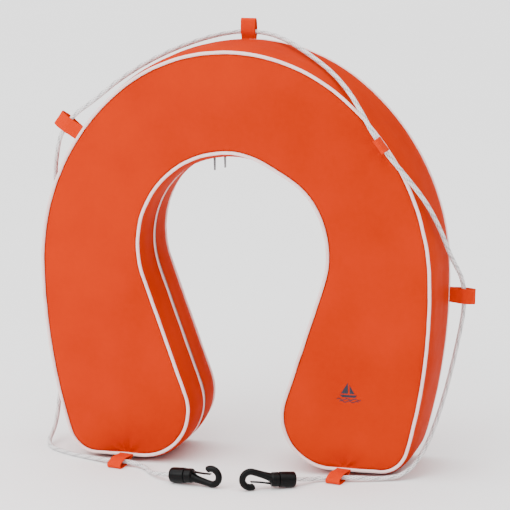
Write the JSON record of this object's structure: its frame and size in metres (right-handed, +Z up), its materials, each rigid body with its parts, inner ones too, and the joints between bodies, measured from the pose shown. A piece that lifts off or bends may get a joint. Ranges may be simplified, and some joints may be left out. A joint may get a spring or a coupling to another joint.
{
  "type": "life ring buoy",
  "caption": "Horseshoe-shaped lifebuoy in a sewn, piped fabric cover with a zipped inner wall, webbing loops, and a grab line ending in snap hooks.",
  "frame": {"origin": "on the floor, midway between the side loops' tips and midway in depth between the piping's front and the rear faces of the loops, under the standing ring", "axes": "+X across the horseshoe to the right as seen from the front, +Y to the rear, +Z up; the hooks and the rope's slack lie on the floor in front (-Y)"},
  "size_m": [0.6088, 0.2201, 0.5948],
  "materials": {
    "cover_fabric": "coated orange fabric, soft sheen",
    "piping_vinyl": "soft white vinyl, satin",
    "foam": "closed-cell foam, matte",
    "zip_tape": "woven tape, matte",
    "zip_coil": "moulded coil, satin",
    "zip_metal": "die-cast grey metal, satin",
    "webbing": "woven orange webbing",
    "hook_plastic": "moulded black nylon, soft gloss",
    "rope": "braided white line with a faint grey fleck"
  },
  "bodies": {
    "buoy": {"front_panel": "cover_fabric", "rear_panel": "cover_fabric", "outer_gusset": "cover_fabric", "inner_gusset": "cover_fabric", "front_piping": "piping_vinyl", "rear_piping": "piping_vinyl", "zip_piping": "piping_vinyl", "foam_slab_front": "foam", "foam_slab_rear": "foam", "zip_tape_front": "zip_tape", "zip_tape_rear": "zip_tape", "zip_teeth_front": "zip_coil", "zip_teeth_rear": "zip_coil", "zip_stop_left": "cover_fabric", "zip_stop_right": "cover_fabric", "loop_top": "webbing", "loop_upper_left": "webbing", "loop_upper_right": "webbing", "loop_middle_left": "webbing", "loop_middle_right": "webbing", "loop_bottom_left": "webbing", "loop_bottom_right": "webbing", "grab_line": "rope", "hook_sleeve_left": "hook_plastic", "hook_sleeve_right": "hook_plastic", "hook_body_left": "hook_plastic", "hook_body_right": "hook_plastic"},
    "left_slider": {"zip_slider_left": "zip_metal"},
    "right_slider": {"zip_slider_right": "zip_metal"},
    "left_pull": {"zip_pull_left": "zip_metal"},
    "right_pull": {"zip_pull_right": "zip_metal"},
    "left_gate": {"hook_gate_left": "hook_plastic"},
    "right_gate": {"hook_gate_right": "hook_plastic"}
  },
  "joints": [
    {"name": "left_slider_travel", "type": "hinge", "parent": "buoy", "child": "left_slider", "pos_m": [0, 0.014, 0.3009], "axis": [0, 1, 0], "range_deg": [-80, 0]},
    {"name": "right_slider_travel", "type": "hinge", "parent": "buoy", "child": "right_slider", "pos_m": [0, 0.014, 0.3009], "axis": [0, 1, 0], "range_deg": [0, 110]},
    {"name": "left_pull_swing", "type": "hinge", "parent": "left_slider", "child": "left_pull", "pos_m": [-0.039, 0.014, 0.4168], "axis": [0, 1, 0], "range_deg": [-35, 60]},
    {"name": "right_pull_swing", "type": "hinge", "parent": "right_slider", "child": "right_pull", "pos_m": [-0.0244, 0.014, 0.4207], "axis": [0, 1, 0], "range_deg": [-60, 35]},
    {"name": "left_gate_spring", "type": "hinge", "parent": "buoy", "child": "left_gate", "pos_m": [-0.03358, -0.12655, 0.01884], "axis": [0.174, 0.9848, 0], "range_deg": [0, 14], "stiffness_Nm_per_rad": 0.06},
    {"name": "right_gate_spring", "type": "hinge", "parent": "buoy", "child": "right_gate", "pos_m": [0.06989, -0.11859, 0.00768], "axis": [-0.495, 0.8689, 0], "range_deg": [0, 14], "stiffness_Nm_per_rad": 0.06}
  ]
}
